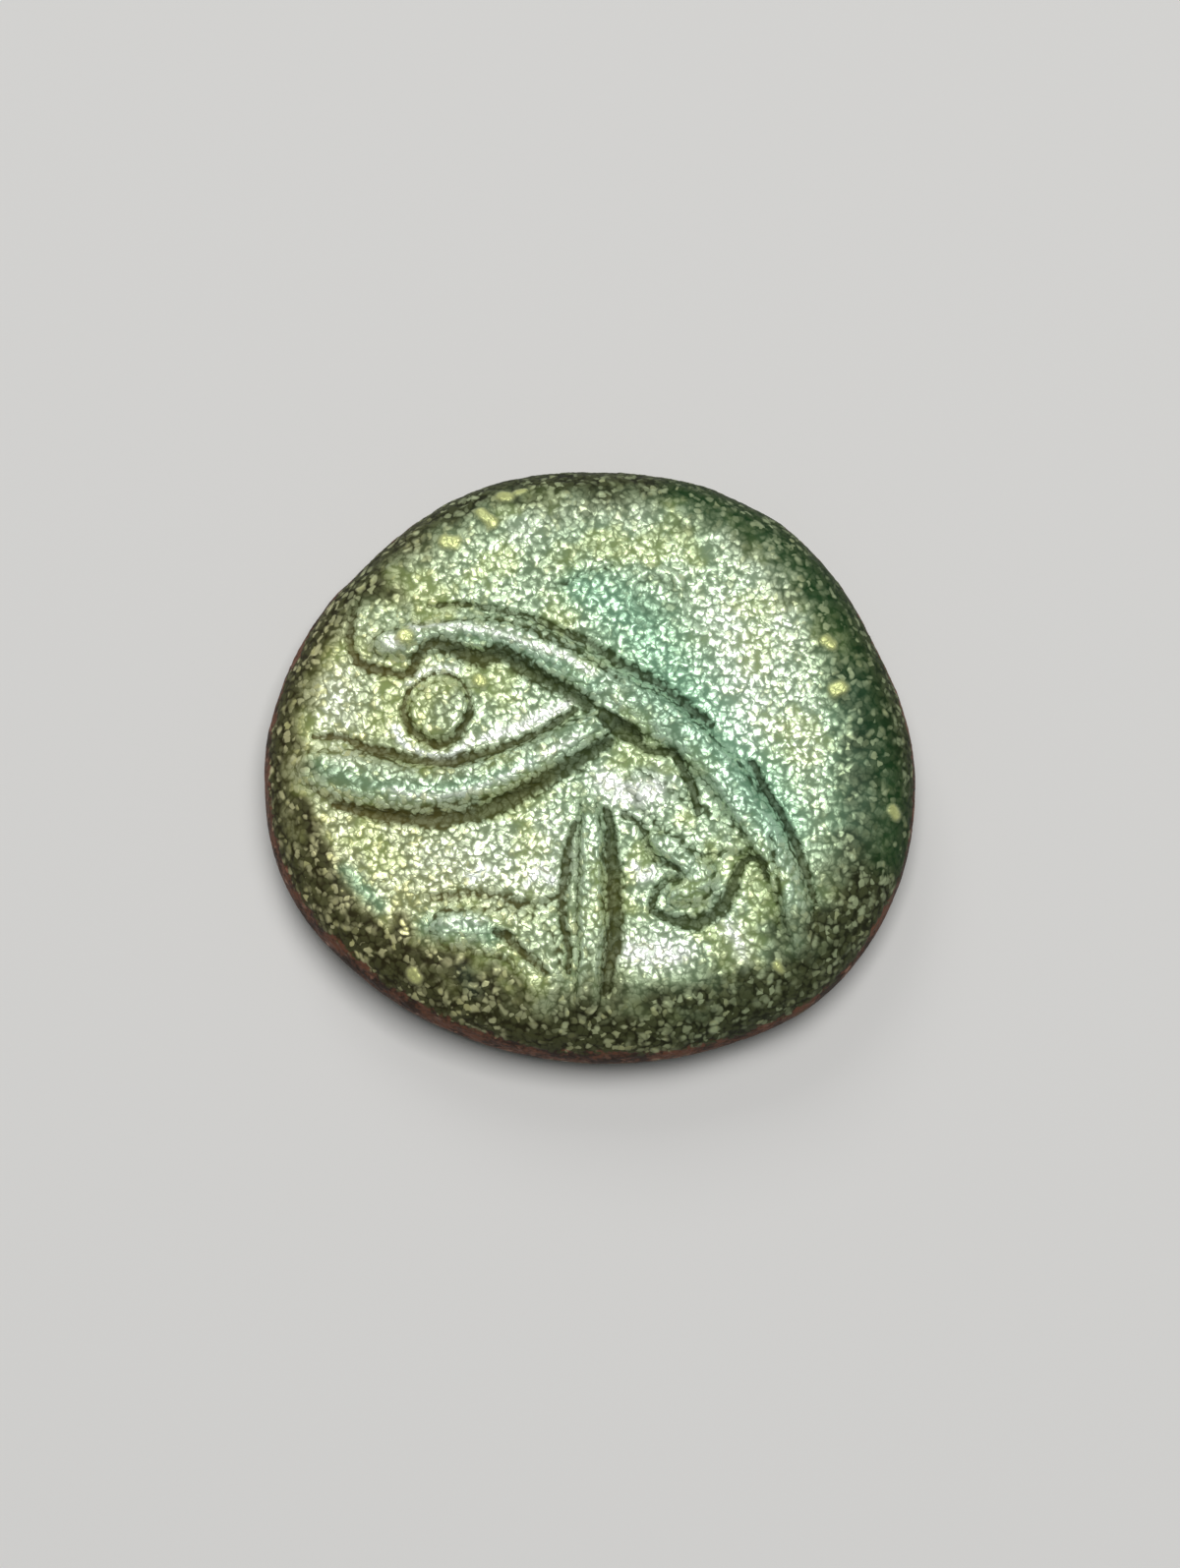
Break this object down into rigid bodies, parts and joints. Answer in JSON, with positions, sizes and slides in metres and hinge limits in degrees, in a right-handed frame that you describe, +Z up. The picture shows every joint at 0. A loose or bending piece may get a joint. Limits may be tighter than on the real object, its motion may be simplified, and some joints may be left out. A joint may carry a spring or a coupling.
{
  "type": "ancient hammered copper coin",
  "caption": "Small thick oval hammered copper coin with rounded edges, a stylised eye, brow and beak in relief on its face, and a worn square punch behind.",
  "frame": {"origin": "on the ground, under the middle of the lying coin's bounding box", "axes": "+Z up out of the struck face, +X to the right of the struck face, +Y to its top"},
  "size_m": [0.017, 0.0156, 0.0037],
  "materials": {
    "green_patina": "worn struck copper under a granular olive to blue-green patina, glinting on its high points"
  },
  "bodies": {
    "root": {"coin": "green_patina"}
  },
  "joints": []
}
